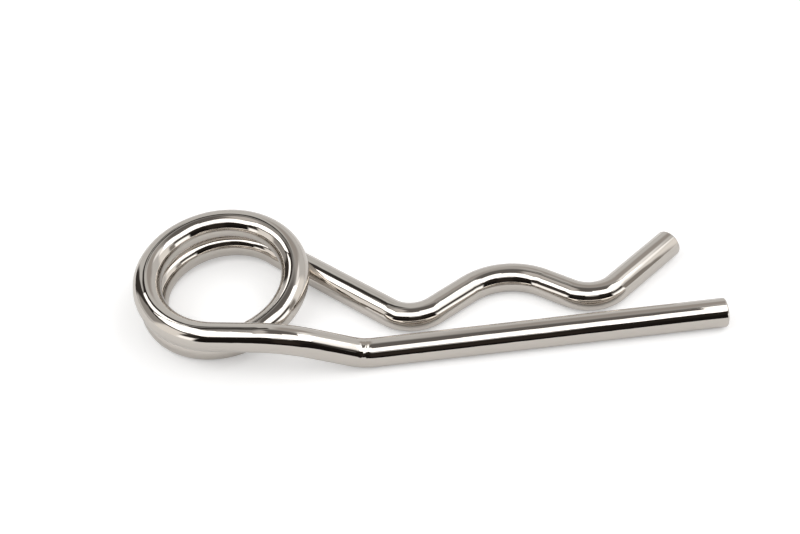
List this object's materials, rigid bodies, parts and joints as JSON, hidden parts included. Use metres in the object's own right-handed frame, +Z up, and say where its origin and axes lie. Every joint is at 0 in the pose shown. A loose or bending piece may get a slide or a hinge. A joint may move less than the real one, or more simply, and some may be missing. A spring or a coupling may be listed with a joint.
{
  "type": "hitch r clip pin",
  "caption": "Spring wire R clip: a coiled eye, a straight leg that goes through a shaft's cross hole and a wavy leg that springs over the shaft.",
  "frame": {"origin": "where the coil's axis meets the level surface that the clip lies on", "axes": "+X along the straight leg, from the coil to its free end; +Y from the straight leg towards the wavy leg's side of the coil; +Z up"},
  "size_m": [0.0808, 0.0297, 0.009],
  "materials": {
    "polished_wire": "bright nickel plate on drawn spring steel wire, polished, with faint draw lines along the wire"
  },
  "bodies": {
    "root": {"r_clip": "polished_wire"}
  },
  "joints": []
}
